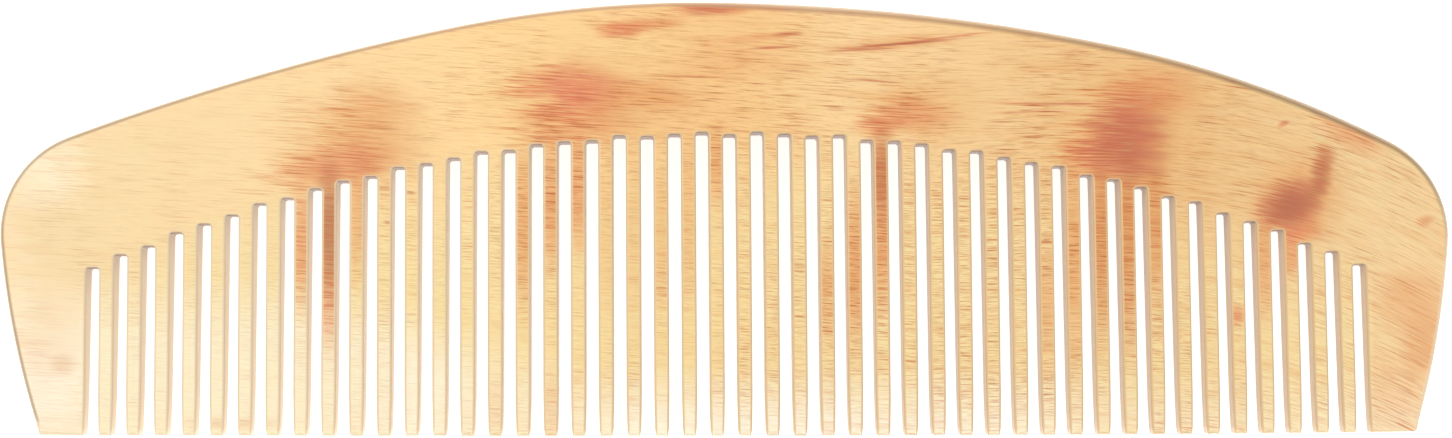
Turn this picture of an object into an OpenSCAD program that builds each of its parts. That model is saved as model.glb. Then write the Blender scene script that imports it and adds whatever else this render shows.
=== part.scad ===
// Horn comb: one flat piece of horn with an arched back, two end guards and a row of sawn teeth.
// It lies on its flat underside. X runs along the comb, Y from the tips to the back, Z up.

/* [Back and guards] */
// Height of the comb, from the tips to the top of the back
comb_h = 47.8; // [46:0.1:50]
// Place of the top of the back, measured from the middle of the comb
apex_x = -2.9; // [-6:0.1:6]
// Radius of the crown, left of its top
crown_left_r = 138; // [130:1:146]
// Turn of the crown, left of its top, in degrees
crown_left_turn = 11.7; // [11.2:0.1:12.2]
// Radius of the left flank, nearly straight
flank_left_r = 280; // [265:1:300]
// Turn of the left flank, in degrees
flank_left_turn = 8.9; // [8.6:0.1:9.2]
// Radius of the left shoulder
shoulder_left_r = 11.4; // [10:0.1:12.5]
// Turn of the left shoulder, in degrees
shoulder_left_turn = 74.4; // [73.6:0.1:75.4]
// Radius of the left guard's bowed side
side_left_r = 94; // [85:1:120]
// Radius of the crown, right of its top
crown_right_r = 230; // [218:1:242]
// Turn of the crown, right of its top, in degrees
crown_right_turn = 11.5; // [11.1:0.1:11.9]
// Radius of the right flank
flank_right_r = 125; // [118:1:132]
// Turn of the right flank, in degrees
flank_right_turn = 14.8; // [14.4:0.1:15.2]
// Radius of the right shoulder
shoulder_right_r = 11.8; // [10:0.1:12.5]
// Turn of the right shoulder, in degrees
shoulder_right_turn = 67.5; // [66.8:0.1:68.2]
// Radius of the right guard's bowed side
side_right_r = 97; // [85:1:120]

/* [Teeth] */
// Number of teeth between the two guards
teeth = 46; // [20:1:46]
// Distance from one slot to the next, along the tips
pitch = 3.048; // [2.9:0.001:3.055]
// How far the row of slots is off the middle of the comb, at the tips
slots_x = 0.1; // [-0.5:0.05:0.5]
// Lean of the middle slot, in degrees
slot_lean = 0.45; // [-1:0.05:1]
// What each next slot leans more, so that the teeth spread a little, in degrees
slot_fan = 0.044; // [0:0.002:0.06]
// Width of a slot, which is that of the saw
slot_w = 1.39; // [1:0.01:1.6]
// Width of a slot just above its mouth
slot_tip_w = 1.5; // [1:0.01:1.8]
// Height above the tips at which the file starts to widen a slot
flare_h = 3.5; // [2:0.5:8]
// What the filed tooth corners add to a slot on each side at its mouth
mouth_flare = 0.13; // [0:0.01:0.2]
// Height of the filed tooth corners
mouth_h = 0.7; // [0.3:0.1:1.5]
// Height of the longest slots, above the tips
root_h = 33.2; // [28:0.1:36]
// Radius of the arc on which the slots end
root_r = 173; // [150:1:300]
// Place of the middle of that arc along the comb
root_x = 0.4; // [-2:0.1:2]
// Size of the cut corners at the end of a slot
root_corner = 0.25; // [0.1:0.05:0.4]
// How far the sawn slots end off their arc, at most
saw_scatter = 0.17; // [0:0.01:0.3]

/* [Thickness and edges] */
// Thickness of the back
back_t = 4.2; // [3:0.1:6]
// Thickness of the teeth at their tips
tip_t = 2.7; // [2.2:0.1:3]
// Height above the tips at which the upper face starts to thin
taper_h = 25; // [18:0.5:34]
// Distance from the middle at which the comb starts to thin towards its ends
end_x = 20; // [10:1:40]
// How much thinner the comb is at its left end
end_drop_left = 0.7; // [0.5:0.1:1.5]
// How much thinner the comb is at its right end
end_drop_right = 1.3; // [0.5:0.1:1.5]
// How much shorter the outermost teeth are than the middle ones, on the left
tip_rise_left = 0.15; // [0.05:0.05:0.5]
// How much shorter the outermost teeth are than the middle ones, on the right
tip_rise_right = 0.35; // [0.05:0.05:0.5]
// Size of the broken outer edge, on each face
edge_break = 0.5; // [0.2:0.05:1]
// Size of the bevels across the tips
tip_bevel = 0.4; // [0.2:0.05:0.6]

/* [Hidden] */
RADIUS = 0;
TURN = 1;
// The sides run on past the tips and are cut off there
side_turn = 22;
left_arcs = [
    [crown_left_r, crown_left_turn],
    [flank_left_r, flank_left_turn],
    [shoulder_left_r, shoulder_left_turn],
    [side_left_r, side_turn]];
right_arcs = [
    [crown_right_r, crown_right_turn],
    [flank_right_r, flank_right_turn],
    [shoulder_right_r, shoulder_right_turn],
    [side_right_r, side_turn]];
// Width of the rim, how far its cut lines run out past it, and how far in the core starts
rim_w = 9;
rim_out = 4;
core_depth = 4;
taper_slope = atan((back_t - tip_t) / taper_h);
function end_slope(side) = atan((side < 0 ? end_drop_left : end_drop_right) / (80 - end_x));
function rise_slope(side) = atan((side < 0 ? tip_rise_left : tip_rise_right) / (75 - end_x));
// Number of flats that the file leaves on the upper edge, along each arc from the crown down
flats = [4, 3, 6, 4];
// Slope of the flats and bevels, and where the two steps of the lower edge meet
bevel_slope = 45;
half_round = 45;
// Turn of the scatter from one slot to the next, in degrees
saw_step = 137;
// Size of what cuts right across the comb, and how far a cut runs past a face
reach = 120;
eps = 0.01;
fine = 720;

// Outline: two chains of arcs that leave the top of the back level, each arc tangent to the last.
// side is -1 for the left chain and 1 for the right one.
function outward(side, turned) = [side * sin(turned), cos(turned)];
function turned(arcs, n) = n == 0 ? 0 : turned(arcs, n - 1) + arcs[n - 1][TURN];
function centre(arcs, side, n) =
    n == 0 ? [apex_x, comb_h - arcs[0][RADIUS]]
    : centre(arcs, side, n - 1)
        + (arcs[n - 1][RADIUS] - arcs[n][RADIUS]) * outward(side, turned(arcs, n));
function on_arc(arcs, side, n, r, turn) =
    centre(arcs, side, n) + r * outward(side, turned(arcs, n) + turn);
function core_point(arcs, side, n) =
    on_arc(arcs, side, n, arcs[n][RADIUS] - core_depth, 0);
function core_end(arcs, side, n) =
    on_arc(arcs, side, n, arcs[n][RADIUS] - core_depth, arcs[n][TURN]);

// Moves by whole millimetres first and then by the rest, so that neighbouring arcs meet exactly
module place(p) {
    whole = [round(p.x), round(p.y)];
    translate(whole)
        translate(p - whole)
            children();
}

// A disc at full thickness with its lower edge broken in two steps
module disc(r) {
    middle = edge_break * (1 - cos(half_round));
    rotate_extrude($fn = fine)
        polygon([
            [0, 0],
            [r - edge_break, 0],
            [r - middle, middle],
            [r, edge_break],
            [r, back_t],
            [0, back_t]]);
}

// One stretch of the rim: the disc of the arc, cut down to what lies between the arc's two ends
module rim(arcs, side, n) {
    r = arcs[n][RADIUS];
    turn = arcs[n][TURN];
    intersection() {
        place(centre(arcs, side, n))
            disc(r);
        translate([0, 0, -eps])
            linear_extrude(height = back_t + 2 * eps)
                polygon([
                    on_arc(arcs, side, n, r - rim_w, 0),
                    on_arc(arcs, side, n, r + rim_out, 0),
                    on_arc(arcs, side, n, r + rim_out, turn),
                    on_arc(arcs, side, n, r - rim_w, turn)]);
    }
}

// The blank: a straight-sided core inside the rim, at full thickness and still without teeth
module blank() {
    last = len(left_arcs) - 1;
    linear_extrude(height = back_t)
        polygon(concat(
            [core_end(left_arcs, -1, last)],
            [for (n = [last:-1:0]) core_point(left_arcs, -1, n)],
            [for (n = [1:last]) core_point(right_arcs, 1, n)],
            [core_end(right_arcs, 1, last)]));
    for (n = [0:last]) {
        rim(left_arcs, -1, n);
        rim(right_arcs, 1, n);
    }
}

// Slots: each is open at the tips and ends on the root arc, a little off it as the saw stopped
function slot_x(n) = slots_x + (n - teeth / 2) * pitch;
function lean(n) = slot_lean + (n - teeth / 2) * slot_fan;
function root_at(x) = root_h - root_r + sqrt(root_r * root_r - (x - root_x) * (x - root_x));
function slot_top(n) = root_at(slot_x(n) - root_h * tan(lean(n))) + saw_scatter * sin(n * saw_step);

module slot(n) {
    top = slot_top(n);
    side = slot_w / 2;
    tip = slot_tip_w / 2;
    below = tip + 2 * mouth_flare;
    shoulder = top - root_corner;
    flat = side - root_corner;
    translate([slot_x(n), 0, -eps])
        rotate([0, 0, lean(n)])
            linear_extrude(height = back_t + 2 * eps)
                polygon([
                    [-below, -mouth_h], [-tip, mouth_h], [-side, flare_h], [-side, shoulder],
                    [-flat, top], [flat, top],
                    [side, shoulder], [side, flare_h], [tip, mouth_h], [below, -mouth_h]]);
}

// What the file takes off one face: everything above a plane that passes through height z at
// distance y from the tips and falls towards them by slope degrees
module above(y, z, slope) {
    translate([0, y, z])
        rotate([slope, 0, 0])
            translate([-reach, -reach, 0])
                cube([2 * reach, 2 * reach, reach]);
}

// The upper face: level over the back, falling to the tips, and bevelled over them
module upper_face() {
    above(taper_h, back_t, 0);
    above(taper_h, back_t, taper_slope);
    above(tip_bevel, back_t - (taper_h - tip_bevel) * tan(taper_slope), bevel_slope);
}

// The line of the tips, and the bevel under them
module tips_line() {
    translate([-reach, -reach, -reach])
        cube([2 * reach, reach, 2 * reach]);
    mirror([0, 0, 1])
        above(tip_bevel, 0, bevel_slope);
}

// One end of the comb: the same faces, turned so that the comb thins and its teeth shorten there
module end_faces(side) {
    translate([side * end_x, 0, 0])
        rotate([0, 0, side * rise_slope(side)]) {
            translate([0, 0, back_t])
                rotate([0, side * end_slope(side), 0])
                    translate([0, 0, -back_t])
                        upper_face();
            tips_line();
        }
}

// The flats along the upper edge of one arc. face_z is the height of the upper face at the edge.
function face_z(p) =
    back_t - max(0, taper_h - p.y) * tan(taper_slope)
        - max(0, abs(p.x) - end_x) * tan(end_slope(sign(p.x)));

module edge_flats(arcs, side, n) {
    count = flats[n];
    for (k = [0:count - 1]) {
        turn = arcs[n][TURN] * (k + 0.5) / count;
        p = on_arc(arcs, side, n, arcs[n][RADIUS], turn);
        translate([p.x, p.y, face_z(p) - edge_break])
            rotate([0, 0, side * (180 - turned(arcs, n) - turn)])
                above(0, 0, bevel_slope);
    }
}

module comb() {
    color("#E8BE85")
        translate([0, -comb_h / 2, 0])
            difference() {
                blank();
                upper_face();
                tips_line();
                for (side = [-1, 1])
                    end_faces(side);
                for (n = [0:len(flats) - 1]) {
                    edge_flats(left_arcs, -1, n);
                    edge_flats(right_arcs, 1, n);
                }
                for (n = [0:teeth])
                    slot(n);
            }
}

comb();
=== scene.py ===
from collections import namedtuple
from math import acos, atan2, cos, hypot, pi, radians, sin, sqrt, tan

import bpy
import numpy as np
from bpy.props import FloatProperty, FloatVectorProperty, IntProperty, PointerProperty
from bpy.types import NodeSocket, Operator, Panel, PropertyGroup
from mathutils import Matrix, Vector
from mathutils.geometry import delaunay_2d_cdt


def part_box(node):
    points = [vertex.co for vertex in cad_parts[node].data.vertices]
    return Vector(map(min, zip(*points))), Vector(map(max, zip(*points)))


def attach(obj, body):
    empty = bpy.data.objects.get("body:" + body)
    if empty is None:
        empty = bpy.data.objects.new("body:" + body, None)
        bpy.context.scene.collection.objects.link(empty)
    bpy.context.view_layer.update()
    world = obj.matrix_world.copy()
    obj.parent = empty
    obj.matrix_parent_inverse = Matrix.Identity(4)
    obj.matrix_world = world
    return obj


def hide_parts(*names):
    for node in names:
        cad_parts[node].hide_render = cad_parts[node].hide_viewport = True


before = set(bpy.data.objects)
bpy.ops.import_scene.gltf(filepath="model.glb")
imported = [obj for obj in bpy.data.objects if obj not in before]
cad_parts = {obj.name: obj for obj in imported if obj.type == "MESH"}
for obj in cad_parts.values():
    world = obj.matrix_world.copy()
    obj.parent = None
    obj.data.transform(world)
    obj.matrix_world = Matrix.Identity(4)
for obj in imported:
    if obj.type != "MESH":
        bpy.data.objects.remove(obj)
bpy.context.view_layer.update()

bl_info = {
    "name": "Horn comb",
    "version": (1, 0, 0),
    "blender": (4, 5, 0),
    "location": "3D View > Sidebar > Horn Comb",
    "description": "Builds a polished, streaked horn comb that lies on a light table",
    "category": "Object",
}

MM = 0.001
COMB_LOW, COMB_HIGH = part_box("comb")

# Side of the comb that a chain of arcs runs down
LEFT, RIGHT = -1, 1
# Turn of the scatter from one slot to the next, in radians
SAW_STEP = radians(137)
# Spacing of the points along the outline, and along the short stretches across the tips
LONG_STEP = 1.5 * MM
SHORT_STEP = 0.25 * MM
# Steps in a rounded edge, and the turn of one step in a rounded corner and in an arc of the outline
ROUND_STEPS = 4
CORNER_STEP = radians(16)
ARC_STEP = radians(4)
# The most that an edge is rounded at an outer corner, as a share of the corner's own rounding, so that
# it never turns in on itself there
CORNER_SHARE = 0.9
# Distance over which the slope of the upper face is read
SLOPE_STEP = 0.1 * MM
# The faces are filled inside the outer ring alone, and points closer than this many millimetres are one
INSIDE_ONLY = 1
SAME_POINT = 1e-6


def rgb(hex_colour):
    """An sRGB hex colour as linear red, green and blue."""
    values = [int(hex_colour[i:i + 2], 16) / 255 for i in (1, 3, 5)]
    return [v / 12.92 if v <= 0.04045 else ((v + 0.055) / 1.055) ** 2.4 for v in values]


def length(name, description, mm):
    """A length property with its default in millimetres."""
    return FloatProperty(name=name, description=description, default=mm * MM, unit="LENGTH",
                         precision=5)


def angle(name, description, turn):
    """An angle property with its default in degrees."""
    return FloatProperty(name=name, description=description, default=radians(turn), subtype="ANGLE")


def share(name, description, value):
    """A plain factor."""
    return FloatProperty(name=name, description=description, default=value, min=0)


def colour(name, description, hex_colour):
    """A colour property with its default as an sRGB hex value."""
    return FloatVectorProperty(name=name, description=description, default=rgb(hex_colour),
                               subtype="COLOR", size=3, min=0, max=1)


def place(name, description, x, y, z):
    """A point with its default in millimetres."""
    return FloatVectorProperty(name=name, description=description, default=(x * MM, y * MM, z * MM),
                               subtype="TRANSLATION", size=3, precision=5)


class HORNCOMB_outline(PropertyGroup):
    """The arched back and the guards, as arcs that run down from the top of the back."""

    apex_x: length("Top", "Place of the top of the back along the comb", -2.9)
    crown_left_r: length("Left crown radius", "Crown, left of its top", 138)
    crown_left_turn: angle("Left crown turn", "Turn of the crown, left of its top", 11.7)
    flank_left_r: length("Left flank radius", "The nearly straight left flank", 280)
    flank_left_turn: angle("Left flank turn", "Turn of the left flank", 8.9)
    shoulder_left_r: length("Left shoulder radius", "Corner over the left guard", 11.4)
    shoulder_left_turn: angle("Left shoulder turn", "Turn of the left shoulder", 74.4)
    side_left_r: length("Left side radius", "Bowed side of the left guard", 94)
    crown_right_r: length("Right crown radius", "Crown, right of its top", 230)
    crown_right_turn: angle("Right crown turn", "Turn of the crown, right of its top", 11.5)
    flank_right_r: length("Right flank radius", "The right flank", 125)
    flank_right_turn: angle("Right flank turn", "Turn of the right flank", 14.8)
    shoulder_right_r: length("Right shoulder radius", "Corner over the right guard", 11.8)
    shoulder_right_turn: angle("Right shoulder turn", "Turn of the right shoulder", 67.5)
    side_right_r: length("Right side radius", "Bowed side of the right guard", 97)
    guard_corner: length("Guard corner", "Rounding of a guard's outer corner at the tips", 0.4)
    tip_rise_left: length("Left tip rise", "How far the line of the tips rises to the left end", 0.15)
    tip_rise_right: length("Right tip rise", "How far the line of the tips rises to the right end", 0.4)


class HORNCOMB_teeth(PropertyGroup):
    """The sawn slots that leave the teeth standing."""

    teeth: IntProperty(name="Teeth", description="Teeth between the guards", default=46, min=2, max=60)
    pitch: length("Pitch", "From one slot to the next, along the tips", 3.048)
    slots_x: length("Offset", "How far the row of slots is off the middle of the comb, at the tips", 0.1)
    lean: angle("Lean", "Lean of the middle slot", 0.45)
    fan: angle("Fan", "What each next slot leans more, so that the teeth spread a little", 0.044)
    slot_w: length("Slot width", "Width of the saw", 1.39)
    tip_w: length("Slot width near the tips", "Just above a slot's mouth", 1.52)
    flare_h: length("Flare height", "Height at which the file starts to widen a slot", 4.5)
    flare_soft: length("Flare softness", "Radius of the bend where a slot starts to widen", 40)
    mouth_flare: length("Mouth flare", "What the filed corners add to a slot on each side", 0.13)
    mouth_h: length("Mouth height", "Height of the filed tooth corners", 0.7)
    mouth_corner: length("Mouth corner", "Rounding of a tooth's corners", 0.15)
    root_h: length("Slot height", "Height of the longest slots above the tips", 33.2)
    root_r: length("Root arc", "Radius of the arc on which the slots end", 173)
    root_x: length("Root arc middle", "Place of the middle of that arc along the comb", 0.4)
    root_corner: length("Root corner", "Rounding of the corners at a slot's end", 0.3)
    saw_scatter: length("Saw scatter", "How far slots end off their arc, at most", 0.17)


class HORNCOMB_faces(PropertyGroup):
    """Thickness, and how the edges are rounded over."""

    tip_t: length("Tip thickness", "Thickness of the middle teeth at their tips", 2.7)
    taper_h: length("Taper height", "Height above the tips at which the upper face starts to thin", 25)
    taper_blend: length("Taper blend", "Length over which the taper starts softly", 8)
    end_x: length("End place", "Distance from the middle at which the two end values hold", 70)
    end_drop_back: length("End drop of the back", "How much thinner the back is there", 1.5)
    end_drop_tips: length("End drop of the tips", "How much thinner the tips are there", 0.85)
    rim_round: length("Rim rounding", "Radius along the left half of the back and the guards", 0.65)
    wide_round: length("Wide rounding", "Radius along the right half of the back", 1.1)
    wide_x: length("Wide place", "Place along the comb where the wide rounding starts", 0)
    wide_y: length("Wide height", "Place across the comb, on the right shoulder, where it ends", 5)
    wide_blend: length("Wide blend", "Length over which it comes and goes", 12)
    slot_round: length("Slot rounding", "Radius along the edges of the slots", 0.3)
    tip_round: length("Tip rounding", "Radius across the tips", 0.4)
    grid: length("Face grid", "Spacing of the points that fill the faces", 1.6)


class HORNCOMB_horn(PropertyGroup):
    """Colours and finish of the horn, with the painted shade and light on its rim, slots and thin teeth.
    """

    pale: colour("Pale", "Back at the left end", "#EED6A6")
    straw: colour("Straw", "Back in the left half", "#F4D398")
    gold: colour("Gold", "Back in the middle", "#EFC586")
    honey: colour("Honey", "Back in the right half", "#F1D098")
    amber: colour("Amber", "Back before the right guard", "#E6BF84")
    end: colour("Right end", "Right guard", "#EACE97")
    # The teeth and tips colours are partly painted light: the table's glow through thin horn
    teeth: colour("Teeth", "Teeth, which are thinner than the back", "#EDDDA2")
    tips: colour("Tips", "Thin horn at the tips of the teeth", "#F6EFDA")
    milk: colour("Milk", "Cloudy horn along the left guard's side", "#F8EED2")
    ember: colour("Ember", "Orange tint of the stains", "#DC994C")
    red: colour("Red", "Red-brown hearts of the stains", "#DE705C")
    dark: colour("Dark", "Darkest part of the stains", "#8C5430")
    line: colour("Grain line", "Fine dark lines of the grain", "#BE6C36")
    # The four rim colours are painted shade on the rounded edge, darkest where it meets the face
    rim_shade_left: colour("Left rim", "Rounded rim at the left end", "#94795A")
    rim_shade_top: colour("Top rim", "Rounded rim over the crown", "#BE9474")
    rim_shade_right: colour("Right rim", "Rounded rim over the right flank", "#A27A56")
    rim_shade_shoulder: colour("Shoulder rim", "Rounded rim round the right shoulder", "#846A4C")
    # The left wall colour is the sawn walls' own colour, and also the painted light along the rim's very
    # edge
    wall_left_and_rim_light: colour("Left wall", "Sawn walls of the slots on the left", "#DECAAA")
    wall_right: colour("Right wall", "Sawn walls of the slots on the right, at their top", "#DABA8C")
    # The lower wall and slot end colours are painted shade down in the slots
    wall_low_shade: colour("Lower wall", "The same walls at their foot", "#C0AC90")
    slot_end_shade: colour("Slot end", "Ends of the slots", "#A68C82")
    roughness: share("Roughness", "Hand polish with fine wear", 0.3)


class HORNCOMB_stage(PropertyGroup):
    """Light table, lights and camera."""

    eye: place("Camera", "Place of the camera", -6.3, -12.4, 270)
    aim: place("Aim", "What the camera looks at", -0.45, 0.11, 0)
    roll: angle("Roll", "How far the camera is turned about its view", 0)
    lens: FloatProperty(name="Lens", description="Focal length of the camera", default=60.18,
                        unit="CAMERA")
    table: colour("Table", "Opal surface of the light table", "#F7F7F7")
    glow: share("Glow", "Light that comes up through the table", 0.75)
    sky: share("Surround", "Even white light from the whole studio", 0.7)
    lamps: share("Lamps", "Strength of the soft boxes", 1.0)


# One arc of the outline: its side of the comb, centre, radius, and where it starts and how far it
# turns, measured from straight up
Arc = namedtuple("Arc", "side x y radius start turn")
# One point of the comb's edge: place, outward direction, rounding of the edge there, and 1 on a
# wall that the saw left or 0 elsewhere
EdgePoint = namedtuple("EdgePoint", "x y out_x out_y round sawn")
# A corner of the tips and slots before it is rounded, with what applies along the stretch after it
Corner = namedtuple("Corner", "x y fillet round sawn step")


def arcs_down(outline, side):
    """The arcs of one half of the outline, from its top down, each tangent to the last."""
    name = "left" if side == LEFT else "right"
    low_y = tips_y(outline, side * COMB_HIGH.x)
    arcs = []
    x, y, start, last = outline.apex_x, COMB_HIGH.y, 0, 0
    for part in ("crown", "flank", "shoulder", "side"):
        radius = getattr(outline, f"{part}_{name}_r")
        x += side * sin(start) * (last - radius)
        y += cos(start) * (last - radius)
        if part == "side":
            turn = acos((low_y - y) / radius) - start
        else:
            turn = getattr(outline, f"{part}_{name}_turn")
        arcs.append(Arc(side, x, y, radius, start, turn))
        start += turn
        last = radius
    return arcs


def rim_rounding(faces, x, y):
    """Rounding of the outer edge, which is wider along the right half of the back."""
    wide = 1
    for past in (x - faces.wide_x, y - faces.wide_y):
        wide *= min(max(past / faces.wide_blend + 0.5, 0), 1)
    return faces.rim_round + (faces.wide_round - faces.rim_round) * wide


def points_down(arcs, faces):
    """Edge points along one half of the outline, from the top of the back to the line of the tips."""
    points = []
    for arc in arcs:
        count = max(round(arc.turn * arc.radius / LONG_STEP), round(arc.turn / ARC_STEP))
        for i in range(count + (arc is arcs[-1])):
            now = arc.start + arc.turn * i / count
            out_x, out_y = arc.side * sin(now), cos(now)
            x, y = arc.x + arc.radius * out_x, arc.y + arc.radius * out_y
            points.append(EdgePoint(x, y, out_x, out_y, rim_rounding(faces, x, y), 0))
    return points


def tips_y(outline, x):
    """The line of the tips, which rises a little towards the two ends."""
    rise = outline.tip_rise_left if x < 0 else outline.tip_rise_right
    return COMB_LOW.y + rise * (x / COMB_HIGH.x) ** 2


def slot_corners(outline, teeth, faces, n):
    """The corners of one slot, up its left wall, across its end and down its right wall."""
    number = n - teeth.teeth / 2
    x = teeth.slots_x + number * teeth.pitch
    low_y = tips_y(outline, x)
    turn = teeth.lean + number * teeth.fan
    from_arc = x - teeth.root_h * tan(turn) - teeth.root_x
    top = (COMB_LOW.y - low_y + teeth.root_h - teeth.root_r + sqrt(teeth.root_r ** 2 - from_arc ** 2)
           + teeth.saw_scatter * sin(n * SAW_STEP))
    half, tip = teeth.slot_w / 2, teeth.tip_w / 2
    right = [(half, top, teeth.root_corner), (half, teeth.flare_h, teeth.flare_soft),
             (tip, teeth.mouth_h, teeth.mouth_h), (tip + teeth.mouth_flare, 0, teeth.mouth_corner)]
    left = [(-across, up, fillet) for across, up, fillet in reversed(right)]
    corners = []
    for across, up, fillet in left + right:
        spot = (x + across * cos(turn) - up * sin(turn), low_y + across * sin(turn) + up * cos(turn))
        corners.append(Corner(*spot, fillet, faces.slot_round, 1, LONG_STEP))
    for end in (0, -1):
        corners[end] = corners[end]._replace(y=tips_y(outline, corners[end].x))
    corners[-1] = corners[-1]._replace(round=faces.tip_round, sawn=0, step=SHORT_STEP)
    return corners


def rounded(before, corner, after):
    """The edge points that round one corner, and the points where its two straight stretches stop."""
    here = Vector((corner.x, corner.y))
    into = (here - Vector((before.x, before.y))).normalized()
    away = (Vector((after.x, after.y)) - here).normalized()
    turn = atan2(into.x * away.y - into.y * away.x, into.dot(away))
    tangent = corner.fillet * tan(abs(turn) / 2)
    start = here - into * tangent
    side = 1 if turn > 0 else -1
    centre = start + Vector((-into.y, into.x)) * side * corner.fillet
    count = max(1, round(abs(turn) / CORNER_STEP))
    points = []
    for i in range(count + 1):
        t = i / count
        out = Matrix.Rotation(turn * t, 2) @ Vector((into.y, -into.x))
        spot = centre + out * side * corner.fillet
        rounding = before.round + (corner.round - before.round) * t
        if side > 0:
            rounding = min(rounding, CORNER_SHARE * corner.fillet)
        sawn = before.sawn + (corner.sawn - before.sawn) * t
        points.append(EdgePoint(spot.x, spot.y, out.x, out.y, rounding, sawn))
    return points


def along_corners(corners):
    """Edge points along a run of corners, with each corner rounded and long stretches divided."""
    points = []
    for before, corner, after in zip(corners, corners[1:], corners[2:]):
        bend = rounded(before, corner, after)
        if points:
            start, end = points[-1], bend[0]
            gap = hypot(end.x - start.x, end.y - start.y)
            count = max(1, round(gap / before.step))
            for i in range(1, count):
                t = i / count
                x, y = start.x + (end.x - start.x) * t, start.y + (end.y - start.y) * t
                points.append(EdgePoint(x, y, start.out_x, start.out_y, before.round, before.sawn))
        points += bend
    return points


def edge_loop(outline, teeth, faces):
    """The comb's whole edge as a closed loop of points, with the horn on its left hand."""
    left = points_down(arcs_down(outline, LEFT), faces)
    right = points_down(arcs_down(outline, RIGHT), faces)
    rim = (faces.rim_round, 0, LONG_STEP)
    tip = (faces.tip_round, 0, SHORT_STEP)
    corners = [
        Corner(left[-2].x, left[-2].y, 0, *rim),
        Corner(left[-1].x, left[-1].y, outline.guard_corner, *tip),
    ]
    for n in range(teeth.teeth + 1):
        corners += slot_corners(outline, teeth, faces, n)
    corners += [
        Corner(right[-1].x, right[-1].y, outline.guard_corner, *rim),
        Corner(right[-2].x, right[-2].y, 0, *rim),
    ]
    return along_corners(corners) + right[-2::-1] + left[1:-1]


def upper_height(faces, x, y):
    """Height of the upper face. It is level over the back and thins to the tips and to both ends."""
    thickness = COMB_HIGH.z
    slope = (thickness - faces.tip_t) / faces.taper_h
    below = COMB_LOW.y + faces.taper_h - y
    half = faces.taper_blend / 2
    height = thickness
    if below >= half:
        height -= slope * below
    elif below > -half:
        height -= slope * (below + half) ** 2 / (4 * half)
    back = min(max((y - COMB_LOW.y) / faces.taper_h, 0), 1)
    drop = faces.end_drop_tips + (faces.end_drop_back - faces.end_drop_tips) * back
    # The right end thins on and on, and the left one levels off
    end = (x / faces.end_x) ** 2
    return height - drop * (end if x > 0 else end / (1 + end ** 2))


def upper_normal(faces, x, y):
    """Direction in which the upper face looks."""
    rise_x = upper_height(faces, x + SLOPE_STEP, y) - upper_height(faces, x - SLOPE_STEP, y)
    rise_y = upper_height(faces, x, y + SLOPE_STEP) - upper_height(faces, x, y - SLOPE_STEP)
    return Vector((-rise_x, -rise_y, 2 * SLOPE_STEP)).normalized()


def inner_points(ring, spacing):
    """The points of a square grid that lie inside the ring and well clear of it."""
    low, high = ring.min(0), ring.max(0)
    x, y = np.meshgrid(np.arange(low[0], high[0], spacing), np.arange(low[1], high[1], spacing))
    points = np.stack([x.ravel(), y.ravel()], 1)
    inside = np.zeros(len(points), bool)
    gap = np.full(len(points), np.inf)
    for a, b in zip(ring, np.roll(ring, -1, 0)):
        step = b - a
        along = np.clip(((points - a) @ step) / (step @ step), 0, 1)
        gap = np.minimum(gap, np.hypot(*(points - a - along[:, None] * step).T))
        if a[1] != b[1]:
            crossed = (a[1] > points[:, 1]) != (b[1] > points[:, 1])
            inside ^= crossed & (points[:, 0] < a[0] + (points[:, 1] - a[1]) * step[0] / step[1])
    return points[inside & (gap > spacing / 2)]


def fill(ring, extra):
    """Triangles that fill the ring, counter-clockwise, through its own points and the extra ones."""
    points = [Vector(p) / MM for p in ring] + [Vector(p) / MM for p in extra]
    verts, _, triangles, came_from, _, _ = delaunay_2d_cdt(
        points, [], [list(range(len(ring)))], INSIDE_ONLY, SAME_POINT)
    if len(verts) != len(points):
        raise RuntimeError("The comb's edge crosses itself where it is rounded over")
    return [[came_from[v][0] for v in triangle] for triangle in triangles]


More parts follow.
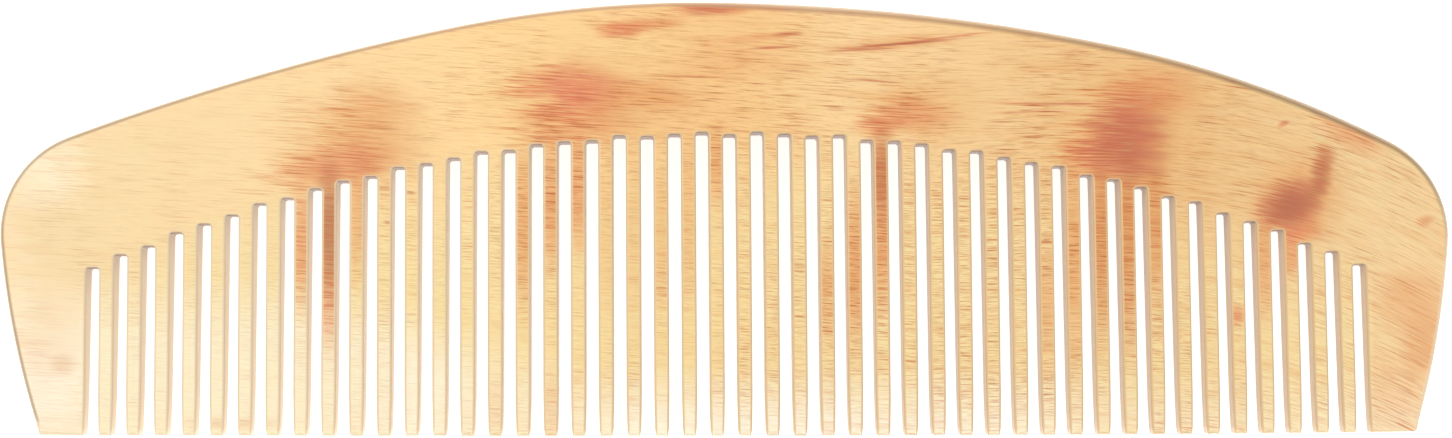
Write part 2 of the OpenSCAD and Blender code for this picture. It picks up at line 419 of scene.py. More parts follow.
def comb_mesh(props):
    """The comb's mesh: a ring of columns round its edge, joined to two filled faces."""
    outline, teeth, faces = props.outline, props.teeth, props.faces
    loop = edge_loop(outline, teeth, faces)
    verts, normals, edges, sawn = [], [], [], []
    turns = [i / ROUND_STEPS * pi / 2 for i in range(ROUND_STEPS + 1)]
    # Each column runs up the edge. Its values for the material are "edge", from 0 on the flat faces to 1
    # where the edge is upright, and "sawn", which is 1 on the walls of the slots.
    for p in loop:
        column = [(turn, False) for turn in reversed(turns)] + [(turn, True) for turn in turns]
        for turn, upper in column:
            inward = p.round * (1 - cos(turn))
            drop = p.round * (1 - sin(turn))
            x, y = p.x - p.out_x * inward, p.y - p.out_y * inward
            face = upper_normal(faces, x, y) if upper else Vector((0, 0, -1))
            verts.append((x, y, upper_height(faces, x, y) - drop if upper else drop))
            normals.append(Vector((p.out_x, p.out_y, 0)) * cos(turn) + face * sin(turn))
            edges.append(cos(turn))
            sawn.append(p.sawn)
    tall = 2 * len(turns)
    polygons = []
    for i in range(len(loop)):
        this, after = i * tall, (i + 1) % len(loop) * tall
        polygons += [(this + j, after + j, after + j + 1, this + j + 1) for j in range(tall - 1)]
    ring = np.array([verts[i * tall][:2] for i in range(len(loop))])
    grid = inner_points(ring, faces.grid)
    first = len(verts)
    for x, y in grid:
        verts += [(x, y, 0), (x, y, upper_height(faces, x, y))]
        normals += [Vector((0, 0, -1)), upper_normal(faces, x, y)]
        edges += [0, 0]
        sawn += [0, 0]
    feet = [i * tall for i in range(len(loop))]
    inner = [first + 2 * i for i in range(len(grid))]
    lower = feet + inner
    upper = [v + tall - 1 for v in feet] + [v + 1 for v in inner]
    for a, b, c in fill(ring, grid):
        polygons += [(upper[a], upper[b], upper[c]), (lower[c], lower[b], lower[a])]
    mesh = bpy.data.meshes.new("horn_comb")
    mesh.from_pydata(verts, [], polygons)
    for name, values in (("edge", edges), ("sawn", sawn)):
        mesh.attributes.new(name, "FLOAT", "POINT").data.foreach_set("value", values)
    mesh.polygons.foreach_set("use_smooth", [True] * len(polygons))
    mesh.validate()
    mesh.normals_split_custom_set_from_vertices([n.normalized() for n in normals])
    return mesh


def add(tree, kind, *inputs, outlet=0, stops=(), **settings):
    """Adds a shader node with its settings, and returns the socket it gives, or all of them.

    Inputs come in order, or by name in a dictionary. A socket is linked, and anything else is the
    input's value. The stops of a colour ramp are places from 0 to 1 with their colours.
    """
    node = tree.nodes.new("ShaderNode" + kind)
    for name, value in settings.items():
        setattr(node, name, value)
    named = inputs[0] if inputs and isinstance(inputs[0], dict) else dict(enumerate(inputs))
    for name, value in named.items():
        if isinstance(value, NodeSocket):
            tree.links.new(value, node.inputs[name])
        else:
            node.inputs[name].default_value = value
    for number, (spot, tone) in enumerate(stops):
        elements = node.color_ramp.elements
        element = elements[number] if number < len(elements) else elements.new(spot)
        element.position, element.color = spot, tone
    return node.outputs if outlet is None else node.outputs[outlet]


# A stain in the horn: its middle, half length and half height in millimetres, its turn in degrees, and
# its share of orange, of red and of dark brown. The large ones are lettered from left to right.
Stain = namedtuple("Stain", "name x y half_w half_h turn orange red dark")
STAINS = (
    Stain("A_body", -42.2, 5.9, 4.8, 2.2, 3, 0.65, 0.45, 0.05),
    Stain("A_left", -47.2, 5.2, 3.3, 1.8, 0, 0.45, 0.15, 0),
    Stain("A_over", -39.8, 10.6, 4.6, 4.2, 0, 0.5, 0.15, 0),
    Stain("A_glow", -41.5, 7.4, 8.2, 5.5, 0, 0.4, 0, 0),
    Stain("B_body", -16.8, 13.9, 4.4, 2.9, -4, 0.6, 0.65, 0.02),
    Stain("B_low", -17.3, 10.5, 6.0, 2.6, -3, 0.55, 0.25, 0),
    Stain("B_left", -21.5, 14.9, 2.6, 1.3, -4, 0.5, 0.3, 0),
    Stain("B_right", -9.5, 13.5, 4.8, 1.8, -3, 0.6, 0.15, 0),
    Stain("B_glow", -16.0, 12.4, 10.4, 4.6, 0, 0.35, 0, 0),
    Stain("C_body", -11.8, 20.9, 2.8, 0.85, 8, 0.8, 0.6, 0),
    Stain("C_end", -8.2, 21.5, 3.0, 0.7, 6, 0.5, 0.25, 0),
    Stain("top_red", -2.1, 23.2, 3.9, 0.8, 1, 0.8, 0.7, 0.25),
    Stain("top_dots", 4.9, 23.2, 2.6, 0.4, 0, 0.5, 0.4, 0),
    Stain("crown_glow", 0.0, 17.4, 6.5, 2.2, 3, 0.28, 0.05, 0),
    Stain("D_body", 19.5, 11.2, 3.8, 1.9, 0, 0.5, 0.35, 0),
    Stain("D_left", 16.7, 10.3, 2.8, 1.1, 0, 0.5, 0.3, 0),
    Stain("D_glow", 20.3, 12.1, 6.6, 3.9, 0, 0.4, 0, 0),
    Stain("E_body", 43.7, 8.7, 4.0, 4.6, 0, 1.0, 0.85, 0.35),
    Stain("E_left", 39.9, 7.5, 2.8, 2.8, 0, 0.8, 0.45, 0),
    Stain("E_up", 46.0, 13.8, 5.0, 2.8, 0, 0.7, 0.3, 0),
    Stain("E_glow", 43.0, 9.8, 8.8, 7.7, 0, 0.35, 0, 0),
    Stain("F_core", 61.9, 1.6, 3.3, 2.3, 16, 1.0, 0.9, 0.55),
    Stain("F_hook", 65.4, 4.9, 1.1, 3.0, -12, 0.9, 0.55, 0.4),
    Stain("F_low", 63.0, -1.0, 2.4, 1.8, 10, 0.8, 0.4, 0),
    Stain("F_glow", 63.3, 3.0, 4.6, 4.6, 0, 0.55, 0.1, 0),
    Stain("edge_lines", 69.0, 9.5, 3.7, 1.5, -25, 0.5, 0.25, 0),
    Stain("left_lines", -75.0, -14.0, 3.0, 4.5, 0, 0.15, 0, 0),
    Stain("guard_spot", 77.2, 0.0, 0.9, 0.7, 20, 0.45, 0.3, 0.05),
    Stain("guard_lines", 75.5, -9.0, 3.7, 3.3, -20, 0.45, 0.15, 0),
    Stain("guard_foot", 73.5, -18.5, 3.0, 4.0, -10, 0.18, 0.05, 0),
    Stain("guard_low", 77.2, -14.0, 2.6, 3.6, -10, 0.4, 0.15, 0.03),
)
# Half width of a stain that fills a tooth, in millimetres
TOOTH_W = 1.6
# Stains that fill one tooth each, thin straight streaks and small marks. These have clear edges and
# don't fray.
TOOTH_STAINS = (
    Stain("A_tooth_8", -46.9, -3.0, TOOTH_W, 6.0, 0, 0.6, 0.3, 0),
    Stain("A_tooth_9", -43.9, -1.4, TOOTH_W, 6.4, 0, 0.75, 0.4, 0.5),
    Stain("A_tooth_9_low", -43.9, -9.6, TOOTH_W, 4.4, 0, 0.55, 0.25, 0),
    Stain("A_tooth_10", -40.8, -0.3, TOOTH_W, 6.6, 0, 0.5, 0.1, 0),
    Stain("tooth_17", -22.6, -0.8, TOOTH_W, 8.2, 0, 0.7, 0.1, 0),
    Stain("tooth_18", -19.7, 1.4, TOOTH_W, 6.6, 0, 0.7, 0.2, 0),
    Stain("tooth_16_low", -25.7, -20.5, TOOTH_W, 3.5, 0, 0.22, 0, 0),
    Stain("tooth_18_low", -19.7, -20.5, TOOTH_W, 3.2, 0, 0.35, 0, 0),
    Stain("tooth_19", -16.7, 3.0, TOOTH_W, 6.0, 0, 0.65, 0.25, 0),
    Stain("tooth_20", -13.6, -1.3, TOOTH_W, 8.8, 0, 0.3, 0, 0),
    Stain("tooth_21", -10.6, -1.3, TOOTH_W, 8.8, 0, 0.3, 0, 0),
    Stain("tooth_22", -7.6, -1.5, TOOTH_W, 7.5, 0, 0.4, 0.05, 0),
    Stain("tooth_23", -4.7, 0.5, TOOTH_W, 7.8, 0, 0.4, 0.05, 0),
    Stain("tooth_24", -1.6, 5.8, TOOTH_W, 4.4, 0, 0.5, 0.1, 0),
    Stain("D_tooth_28", 10.6, -7.9, TOOTH_W, 5.5, 0, 0.5, 0.1, 0),
    Stain("D_tooth_29", 13.6, -5.2, TOOTH_W, 8.2, 0, 0.75, 0.15, 0),
    Stain("D_tooth_30", 16.6, 4.7, TOOTH_W, 4.4, 0, 0.9, 0.4, 0.35),
    Stain("D_tooth_30_low", 16.6, -3.5, TOOTH_W, 6.0, 0, 0.7, 0.2, 0),
    Stain("E_tooth_36", 34.7, -9.0, TOOTH_W, 6.6, 0, 0.45, 0.1, 0),
    Stain("E_tooth_37", 37.7, -4.5, TOOTH_W, 9.8, 0, 0.7, 0.1, 0),
    Stain("E_tooth_38", 40.8, -1.5, TOOTH_W, 10.5, 0, 0.9, 0.15, 0.12),
    Stain("E_tooth_39", 43.8, -2.0, TOOTH_W, 10.5, 0, 0.9, 0.15, 0.12),
    Stain("E_tooth_40", 46.9, -0.5, TOOTH_W, 7.5, 0, 0.8, 0.15, 0.08),
    Stain("F_tooth_45", 58.9, -4.5, TOOTH_W, 6.5, 0, 0.55, 0.15, 0),
    Stain("F_tooth_46", 62.0, -3.4, TOOTH_W, 2.8, 0, 0.6, 0.25, 0),
    Stain("F_spot", 56.0, -10.6, 0.9, 1.1, 0, 0.6, 0.4, 0),
    Stain("mark", 61.3, 10.6, 0.6, 0.3, 25, 0.5, 0.5, 0.1),
    Stain("crack_1", -35.2, 2.8, 0.6, 0.2, -10, 0.3, 0.2, 0.3),
    Stain("crack_2", -37.5, -0.5, 0.6, 0.2, -10, 0.3, 0.2, 0.3),
    Stain("streak_glow", 18.5, 19.4, 6.5, 0.8, 5, 0.45, 0.1, 0),
    Stain("streak_long", 18.9, 19.3, 5.6, 0.16, 5, 0.7, 0.75, 0.5),
    Stain("streak_under", 14.3, 18.6, 3.6, 0.13, 3, 0.6, 0.5, 0.3),
    Stain("streak_end", 24.5, 20.1, 3.6, 0.13, 7, 0.5, 0.5, 0.1),
    Stain("streak_crown", 3.6, 20.0, 4.0, 0.45, 5, 0.45, 0.2, 0),
    Stain("streak_crown_end", 6.2, 20.3, 1.6, 0.22, 4, 0.6, 0.5, 0.25),
    Stain("line_before_E", 35.5, 12.7, 5.5, 0.12, 0, 0.5, 0.6, 0.25),
    Stain("line_before_E_low", 33.0, 11.8, 4.0, 0.1, 1, 0.4, 0.45, 0.15),
    Stain("line_after_B", -5.5, 15.6, 4.5, 0.1, -1, 0.4, 0.4, 0.15),
    Stain("line_over_D", 15.0, 15.2, 4.0, 0.1, -4, 0.4, 0.4, 0.15),
    Stain("streak_low", 4.6, 18.8, 2.7, 0.14, 3, 0.6, 0.6, 0.3),
    Stain("tip_dashes", -54.5, -22.4, 5.5, 0.6, 0, 0.25, 0, 0.05),
    Stain("blotch", -73.0, -16.0, 1.4, 1.1, 0, 0.25, 0, 0.06),
)
# Cloudy white horn, as stains whose first share is that of the white
CLOUDS = (
    Stain("cloud_low", -75.0, -18.5, 4.5, 4.5, 0, 0.75, 0, 0),
    Stain("cloud_side", -78.5, -6.0, 1.6, 12.0, 2, 0.2, 0, 0),
    Stain("cloud_up", -75.5, 5.5, 4.0, 4.0, 0, 0.6, 0, 0),
)
# A stain fades out at this many times its half sizes, and is full over this share of the way in. Its
# depth in millimetres is far more than the comb's thickness, so it goes right through.
STAIN_REACH = 1.55
STAIN_FULL = 0.87
STAIN_DEPTH = 150
# How far the fine lines and the broad streaks tear the stains along the comb, and how far the edges of
# the stains wander across it, all in millimetres, and the cells to the millimetre that they wander by
TORN_BY_LINES = 3
TORN_BY_STREAKS = 2.5
WANDER = 0.8
WANDER_CELLS = 0.15

# Cells of the grain to the millimetre, along and across it, and the detail in them: broad streaks, fine
# lines and short dashes. The lines are drawn about 0.2 mm wide, a little coarser than the real ones, so
# that they show.
STREAKS = ((0.07, 0.8), 4)
LINES = ((0.22, 5.5), 3)
DASHES = ((0.5, 10.0), 2)
GRAIN_ROUGHNESS = 0.6
# Cells to the millimetre of the patches in which the fine lines come
PATCH_CELLS = 0.1
# Nearly all values of a noise lie between these two
NOISE_LOW, NOISE_HIGH = 0.2, 0.8
# The grain falls evenly to the right as far as FALL_END, and past BEND_START it bends down as well, with
# the cube of the distance in millimetres
GRAIN_FALL = 0.06
FALL_END = 20
BEND_START = 30
GRAIN_BEND = 7.7e-5
# Where the guards begin on either side of the middle, and where they are whole, in millimetres
GUARDS = (70.5, 71.5)
# How pale the tips of the teeth are, at places along the comb in millimetres. The paleness is partly
# thin horn and partly painted light from the table showing through it.
TIP_PALENESS = ((-74, 0.5), (-40, 0.55), (-34, 0.8), (-27, 0.45), (-18, 0.45),
                (-10, 0.85), (10, 0.85), (33, 0.65), (42, 0.35), (72, 0.3))
# Horn is keratin, with a refractive index of about 1.54. Light spreads a millimetre or two under its
# polish, red light the furthest, and the grain lies in the polish as shallow grooves.
HORN_IOR = 1.54
SPREAD = 0.3
SPREAD_LENGTH = 2 * MM
SPREAD_RGB = (1, 0.5, 0.25)
GROOVE_DEPTH = 0.05 * MM
GROOVE_STRENGTH = 0.15
# Sockets of a Mix node, because those of its numbers and of its colours have the same names
FACTOR, NUMBER_A, NUMBER_B, COLOUR_A, COLOUR_B = 0, 2, 3, 6, 7
MIXED_COLOUR = 2

# The place on the comb that a shader works at: in millimetres, its parts, and how far along the comb it
# lies, from 0 to 1. Where a MapRange node reads x, y or z, its first two numbers are in millimetres.
Spot = namedtuple("Spot", "mm x y z along")
# Noise laid along the grain
Grain = namedtuple("Grain", "streaks lines dashes")


def ramp_stops(*tones):
    """Colours laid out along the comb, each at its place in millimetres, as the stops of a ramp."""
    size = COMB_HIGH.x - COMB_LOW.x
    return [((x * MM - COMB_LOW.x) / size, (*tone, 1)) for x, tone in tones]


def stained(tree, groups):
    """How much orange, red and dark brown the groups of stains give, each with its own coordinates.

    The gradient texture takes the mapped point as it is. A vector node would need each of them
    converted first, and Cycles then runs out of room for so many at once.
    """
    clear = (1, 1, 1)
    for at, stains in groups:
        for stain in stains:
            inside = add(tree, "Mapping", {
                "Vector": at, "Location": (stain.x, stain.y, 0), "Rotation": (0, 0, radians(stain.turn)),
                "Scale": (STAIN_REACH * stain.half_w, STAIN_REACH * stain.half_h, STAIN_DEPTH)},
                vector_type="TEXTURE", label=stain.name)
            near = add(tree, "TexGradient", inside, outlet="Fac", gradient_type="SPHERICAL")
            mask = add(tree, "MapRange", near, 0, STAIN_FULL, interpolation_type="SMOOTHSTEP")
            shares = (-stain.orange, -stain.red, -stain.dark)
            taken = add(tree, "VectorMath", {0: shares, "Scale": mask}, operation="SCALE")
            clear = add(tree, "VectorMath", clear, taken, clear, operation="MULTIPLY_ADD")
    given = add(tree, "VectorMath", (1, 1, 1), clear, operation="SUBTRACT")
    return add(tree, "SeparateXYZ", given, outlet=None)


def laid_grain(tree, spot):
    """The grain, which falls a little to the right and steeply on the right guard."""
    level = add(tree, "Math", spot.x, FALL_END, operation="MINIMUM")
    fall = add(tree, "Math", level, GRAIN_FALL, spot.y, operation="MULTIPLY_ADD")
    past = add(tree, "Math", spot.x, BEND_START, operation="SUBTRACT")
    past = add(tree, "Math", past, 0, operation="MAXIMUM")
    bend = add(tree, "Math", past, 3, operation="POWER")
    across = add(tree, "Math", bend, GRAIN_BEND, fall, operation="MULTIPLY_ADD")
    grain = add(tree, "CombineXYZ", spot.x, across)
    noises = []
    for cells, detail in (STREAKS, LINES, DASHES):
        stretched = add(tree, "VectorMath", grain, (*cells, 1), operation="MULTIPLY")
        noises.append(add(tree, "TexNoise", {
            "Vector": stretched, "Scale": 1, "Detail": detail, "Roughness": GRAIN_ROUGHNESS}))
    return Grain(*noises)


def stains_in(tree, spot, grain, whole):
    """Shares of orange, red, dark brown and cloudy white. Those in the back fray along the grain."""
    torn = add(
        tree, "Math",
        add(tree, "MapRange", grain.lines, NOISE_LOW, NOISE_HIGH, -TORN_BY_LINES, TORN_BY_LINES),
        add(tree, "MapRange", grain.streaks, NOISE_LOW, NOISE_HIGH, -TORN_BY_STREAKS, TORN_BY_STREAKS),
        operation="ADD")
    # They fray less at the right end and near the crown
    right_end = add(tree, "MapRange", spot.x, 45, 58, 1, 0.3)
    crown = add(tree, "MapRange", spot.y, 14, 19, 1, 0.4)
    for calm in (whole, right_end, crown):
        torn = add(tree, "Math", torn, calm, operation="MULTIPLY")
    noise = add(tree, "TexNoise", {"Vector": spot.mm, "Scale": WANDER_CELLS, "Detail": 3})
    wander = add(tree, "Math", add(tree, "MapRange", noise, NOISE_LOW, NOISE_HIGH, -WANDER, WANDER),
                 add(tree, "MapRange", spot.y, 15, 19, 1, 0.3), operation="MULTIPLY")
    frayed = add(tree, "VectorMath", spot.mm, add(tree, "CombineXYZ", torn, wander))
    orange, red, dark = stained(tree, ((frayed, STAINS), (spot.mm, TOOTH_STAINS)))
    # The fine lines streak the orange, and the red more
    orange = add(tree, "Math", orange, add(tree, "MapRange", grain.lines, 0.35, 0.65, 0.6, 1.2),
                 operation="MULTIPLY")
    red = add(tree, "Math", red, add(tree, "MapRange", grain.lines, 0.35, 0.65, 0.4, 1.4),
              operation="MULTIPLY")
    cloudy = stained(tree, ((frayed, CLOUDS),))[0]
    return orange, red, dark, cloudy


def horn_tone(tree, spot, grain, colours, teeth):
    """The horn's colour: its tone along the comb, clouds, pale tips partly painted as light through thin
    horn, stains, streaks and lines.
    """
    # 1 in the back and the guards and 0 in the teeth, by the height over the arc that the slots end on
    squared = add(tree, "Math", spot.x, spot.x, operation="MULTIPLY")
    arc = add(tree, "Math", squared, MM / (2 * teeth.root_r), -(COMB_LOW.y + teeth.root_h) / MM,
              operation="MULTIPLY_ADD")
    over = add(tree, "Math", spot.y, arc, operation="ADD")
    guard = add(tree, "MapRange", add(tree, "Math", spot.x, operation="ABSOLUTE"), *GUARDS)
    whole = add(tree, "Math", add(tree, "MapRange", over, -1, 1), guard, operation="MAXIMUM")
    orange, red, dark, cloudy = stains_in(tree, spot, grain, whole)

    tone = add(tree, "ValToRGB", spot.along, stops=ramp_stops(
        (-75, colours.pale), (-28, colours.straw), (0, colours.gold), (13, colours.honey),
        (52, colours.amber), (72, colours.end)))
    # The teeth get paler from their roots down, and their tips once more, most of all in the middle and
    # sooner on the left. This is thinner horn with painted light from the table showing through it.
    thin_and_backlit = add(tree, "Math", add(tree, "MapRange", over, 1, -9, 0, 0.6),
               add(tree, "Math", 1, whole, operation="SUBTRACT"), operation="MULTIPLY")
    sooner = add(tree, "Math", spot.y, add(tree, "MapRange", spot.x, -45, -15, 10, 0),
                 operation="SUBTRACT")
    pale = add(tree, "ValToRGB", spot.along, stops=ramp_stops(
        *((x, (grey, grey, grey)) for x, grey in TIP_PALENESS)))
    low = add(tree, "Math", add(tree, "MapRange", sooner, -16, -22.5), pale, operation="MULTIPLY")
    # The broad streaks tint the right half more than the left one
    warm = add(tree, "Math", add(tree, "MapRange", grain.streaks, 0.5, 0.75),
               add(tree, "MapRange", spot.x, -40, 20, 0.1, 0.4), operation="MULTIPLY")
    # The fine lines are stronger to the right and in the stains. They come in patches, and are fainter
    # in pale tips and in the teeth at the right end.
    strong = add(tree, "Math", orange, 0.6, add(tree, "MapRange", spot.x, -60, 50, 0.3, 1),
                 operation="MULTIPLY_ADD")
    patches = add(tree, "TexNoise", {"Vector": spot.mm, "Scale": PATCH_CELLS, "Detail": 2})
    in_patches = add(tree, "MapRange", patches, 0.4, 0.6, 0.5, 1.3)
    in_tips = add(tree, "MapRange", low, 0.3, 0.9, 1, 0.3)
    in_right = add(tree, "Math", add(tree, "MapRange", spot.x, 48, 56, 1, 0.6), whole,
                   operation="MAXIMUM")
    for factor in (in_patches, in_tips, in_right):
        strong = add(tree, "Math", strong, factor, operation="MULTIPLY")
    fine = add(tree, "Math", add(tree, "MapRange", grain.lines, 0.52, 0.72), strong,
               operation="MULTIPLY")
    # The short dashes show more in the teeth
    dashed = add(tree, "Math", strong, add(tree, "MapRange", whole, 0, 1, 0.9, 0.5),
                 operation="MULTIPLY")
    short = add(tree, "Math", add(tree, "MapRange", grain.dashes, 0.5, 0.75), dashed,
                operation="MULTIPLY")
    layers = (
        (cloudy, colours.milk), (thin_and_backlit, colours.teeth), (low, colours.tips), (warm, colours.ember),
        (orange, colours.ember), (red, colours.red), (dark, colours.dark), (fine, colours.line),
        (short, colours.line))
    for cover, tint in layers:
        tone = add(tree, "Mix", {FACTOR: cover, COLOUR_A: tone, COLOUR_B: (*tint, 1)},
                   outlet=MIXED_COLOUR, data_type="RGBA")
    return tone


def cut_edges(tree, spot, tone, colours):
    """Painted shade and light on the rounded rim, and the sawn walls of the slots with painted shade at
    their foot and ends, laid over the horn's colour.
    """
    edge = add(tree, "Attribute", outlet="Fac", attribute_name="edge")
    sawn = add(tree, "Attribute", outlet="Fac", attribute_name="sawn")
    # Painted shade on the rim, with painted light that makes it palest at its very edge, and all of it
    # is pale low down on the right guard
    rim = add(tree, "ValToRGB", spot.along, stops=ramp_stops(
        (-78, colours.rim_shade_left), (-10, colours.rim_shade_top), (30, colours.rim_shade_right),
        (62, colours.rim_shade_shoulder)))
    clear = add(tree, "Math", add(tree, "MapRange", spot.x, 60, 72),
                add(tree, "MapRange", spot.y, 6, -5), operation="MULTIPLY")
    light = add(tree, "Math", add(tree, "MapRange", edge, 0.4, 0.9, 0, 0.65), clear,
                operation="MAXIMUM")
    rim = add(tree, "Mix", {FACTOR: light, COLOUR_A: rim, COLOUR_B: (*colours.wall_left_and_rim_light, 1)},
              outlet=MIXED_COLOUR, data_type="RGBA")
    # Painted shade: the walls darken with depth in the right half, and the ends, which face the tips,
    # are darker still
    depth_shade = add(tree, "Math", add(tree, "MapRange", spot.z, 3, 0.2),
               add(tree, "MapRange", spot.x, -40, 20), operation="MULTIPLY")
    facing = add(tree, "SeparateXYZ", add(tree, "NewGeometry", outlet="Normal"), outlet="Y")
    end_shade_cover = add(tree, "Math", add(tree, "MapRange", facing, -0.4, -0.8), sawn, operation="MULTIPLY")
    wall = add(tree, "ValToRGB", spot.along, stops=ramp_stops(
        (-50, colours.wall_left_and_rim_light), (20, colours.wall_right)))
    for cover, tint in ((depth_shade, colours.wall_low_shade), (end_shade_cover, colours.slot_end_shade)):
        wall = add(tree, "Mix", {FACTOR: cover, COLOUR_A: wall, COLOUR_B: (*tint, 1)},
                   outlet=MIXED_COLOUR, data_type="RGBA")
    side = add(tree, "Mix", {FACTOR: sawn, COLOUR_A: rim, COLOUR_B: wall}, outlet=MIXED_COLOUR,
               data_type="RGBA")
    # The painted rim shade covers most of the rim, and the wall colour nearly all of a wall; the rim
    # shade fades out at the tips of the guards
    rim_shade_cover = add(tree, "Math", add(tree, "MapRange", edge, 0, 0.4, 0, 0.8),
                 add(tree, "MapRange", spot.y, -21.5, -23, 1, 0.25), operation="MULTIPLY")
    on_wall = add(tree, "MapRange", edge, 0, 0.35, 0, 0.95)
    cover = add(tree, "Mix", {FACTOR: sawn, NUMBER_A: rim_shade_cover, NUMBER_B: on_wall})
    return add(tree, "Mix", {FACTOR: cover, COLOUR_A: tone, COLOUR_B: side}, outlet=MIXED_COLOUR,
               data_type="RGBA")


# Polished horn gives the eye a soft gloss over a warm depth, in which the stains and the grain lie
def horn(colours, teeth):
    """Horn, sawn and hand-polished: see-through honey with red stains, fine grain, paler tips partly
    painted light, and painted shade on the rim and in the slots.
    """
    material = bpy.data.materials.new("polished_horn")
    material.use_nodes = True
    tree = material.node_tree
    tree.nodes.clear()
    where = add(tree, "TexCoord", outlet="Object")
    mm = add(tree, "VectorMath", {0: where, "Scale": 1 / MM}, operation="SCALE")
    x, y, z = add(tree, "SeparateXYZ", mm, outlet=None)
    spot = Spot(mm, x, y, z, add(tree, "MapRange", x, COMB_LOW.x / MM, COMB_HIGH.x / MM))
    grain = laid_grain(tree, spot)
    tone = cut_edges(tree, spot, horn_tone(tree, spot, grain, colours, teeth), colours)
    bump = add(tree, "Bump", {
        "Height": grain.lines, "Strength": GROOVE_STRENGTH, "Distance": GROOVE_DEPTH})
    shader = add(tree, "BsdfPrincipled", {
        "Base Color": tone, "Roughness": colours.roughness, "IOR": HORN_IOR, "Normal": bump,
        "Subsurface Weight": SPREAD, "Subsurface Radius": SPREAD_RGB, "Subsurface Scale": SPREAD_LENGTH})
    add(tree, "OutputMaterial", shader, outlet=None)
    return material


OPAL_ROUGHNESS = 0.8


# Opal glass gives the eye an even white, with no highlight and only a faint shadow
def opal(stage):
    """Opal glass of a light table: matt white that glows evenly."""
    material = bpy.data.materials.new("opal_table")
    material.use_nodes = True
    tree = material.node_tree
    tree.nodes.clear()
    shader = add(tree, "BsdfPrincipled", {
        "Base Color": (*stage.table, 1), "Roughness": OPAL_ROUGHNESS,
        "Emission Color": (1, 1, 1, 1), "Emission Strength": stage.glow})
    add(tree, "OutputMaterial", shader, outlet=None)
    return material


class HORNCOMB_OT_comb(Operator):
    """Build the horn comb over its solid."""

    bl_idname = "horncomb.comb"
    bl_label = "Comb"

    def execute(self, context):
        props = context.scene.horn_comb
        comb = bpy.data.objects.new("horn_comb", comb_mesh(props))
        context.collection.objects.link(comb)
        comb.data.materials.append(horn(props.horn, props.teeth))
        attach(comb, "root")
        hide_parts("comb")
        return {"FINISHED"}


# A soft box over the table: where it hangs and its side, in metres, and its power
SoftBox = namedtuple("SoftBox", "name x y z side watts")
SOFT_BOXES = (
    SoftBox("soft_box_left", -0.9, 0.5, 1.1, 0.9, 9),
    SoftBox("soft_box_right", 0.9, -0.6, 1.2, 0.9, 6),
)
# Side of the table, in metres
TABLE_SIDE = 6
# The table lies this far under the comb, so that the two surfaces don't meet
TABLE_GAP = 0.05 * MM
# Width of the camera's sensor in millimetres, and the nearest that it sees in metres
SENSOR_W = 36
CLIP_START = 0.01


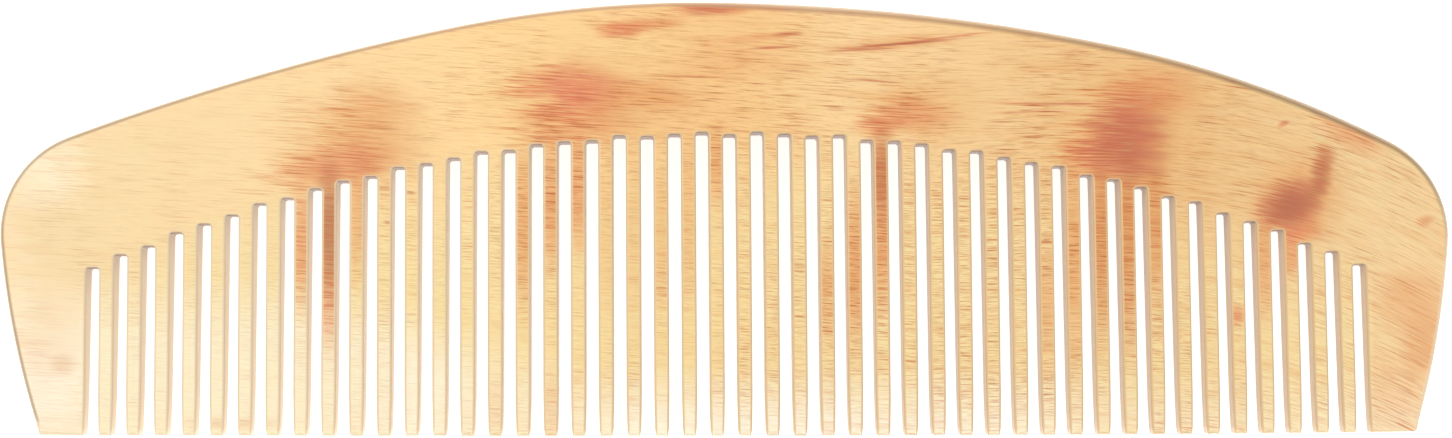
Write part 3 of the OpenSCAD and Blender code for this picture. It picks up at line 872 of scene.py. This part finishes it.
class HORNCOMB_OT_stage(Operator):
    """Build the light table, the lights and the camera."""

    bl_idname = "horncomb.stage"
    bl_label = "Stage"

    def execute(self, context):
        scene = context.scene
        stage = scene.horn_comb.stage
        half = TABLE_SIDE / 2
        mesh = bpy.data.meshes.new("table")
        corners = [(-half, -half, 0), (half, -half, 0), (half, half, 0), (-half, half, 0)]
        mesh.from_pydata(corners, [], [(0, 1, 2, 3)])
        mesh.materials.append(opal(stage))
        table = bpy.data.objects.new("table", mesh)
        table.location.z = COMB_LOW.z - TABLE_GAP
        scene.collection.objects.link(table)
        for box in SOFT_BOXES:
            lamp = bpy.data.lights.new(box.name, "AREA")
            lamp.size = box.side
            lamp.energy = box.watts * stage.lamps
            light = bpy.data.objects.new(box.name, lamp)
            light.location = (box.x, box.y, box.z)
            light.rotation_euler = (-light.location).to_track_quat("-Z", "Y").to_euler()
            scene.collection.objects.link(light)
        world = bpy.data.worlds.new("studio")
        world.use_nodes = True
        background = world.node_tree.nodes["Background"]
        background.inputs["Color"].default_value = (1, 1, 1, 1)
        background.inputs["Strength"].default_value = stage.sky
        scene.world = world
        scene.view_settings.view_transform = "Standard"
        self.add_camera(scene, stage)
        return {"FINISHED"}

    def add_camera(self, scene, stage):
        """Adds the camera over the comb, with the back of the comb at the top of its picture."""
        eye, aim = Vector(stage.eye), Vector(stage.aim)
        back = (eye - aim).normalized()
        right = Vector((0, 1, 0)).cross(back).normalized()
        level = Matrix((right, back.cross(right), back)).transposed()
        turned = level @ Matrix.Rotation(stage.roll, 3, "Z")
        camera = bpy.data.objects.new("camera", bpy.data.cameras.new("camera"))
        camera.data.sensor_width = SENSOR_W
        camera.data.lens = stage.lens
        camera.data.clip_start = CLIP_START
        camera.matrix_world = Matrix.Translation(eye) @ turned.to_4x4()
        scene.collection.objects.link(camera)
        scene.camera = camera


class HORNCOMB_settings(PropertyGroup):
    """All settings of the comb and its stage."""

    outline: PointerProperty(type=HORNCOMB_outline)
    teeth: PointerProperty(type=HORNCOMB_teeth)
    faces: PointerProperty(type=HORNCOMB_faces)
    horn: PointerProperty(type=HORNCOMB_horn)
    stage: PointerProperty(type=HORNCOMB_stage)


class HORNCOMB_PT_panel(Panel):
    """Lists the settings and the operators."""

    bl_idname = "HORNCOMB_PT_panel"
    bl_label = "Horn Comb"
    bl_space_type = "VIEW_3D"
    bl_region_type = "UI"
    bl_category = "Horn Comb"

    def draw(self, context):
        props = context.scene.horn_comb
        for group in (props.outline, props.teeth, props.faces, props.horn, props.stage):
            box = self.layout.box()
            for name in group.__annotations__:
                box.prop(group, name)
        self.layout.operator(HORNCOMB_OT_comb.bl_idname)
        self.layout.operator(HORNCOMB_OT_stage.bl_idname)


CLASSES = (HORNCOMB_outline, HORNCOMB_teeth, HORNCOMB_faces, HORNCOMB_horn, HORNCOMB_stage,
           HORNCOMB_settings, HORNCOMB_OT_comb, HORNCOMB_OT_stage, HORNCOMB_PT_panel)


def register():
    for cls in CLASSES:
        bpy.utils.register_class(cls)
    bpy.types.Scene.horn_comb = PointerProperty(type=HORNCOMB_settings)


def unregister():
    del bpy.types.Scene.horn_comb
    for cls in reversed(CLASSES):
        bpy.utils.unregister_class(cls)


def main():
    """Registers the add-on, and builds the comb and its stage."""
    register()
    bpy.ops.horncomb.comb()
    bpy.ops.horncomb.stage()


if __name__ == "__main__":
    main()
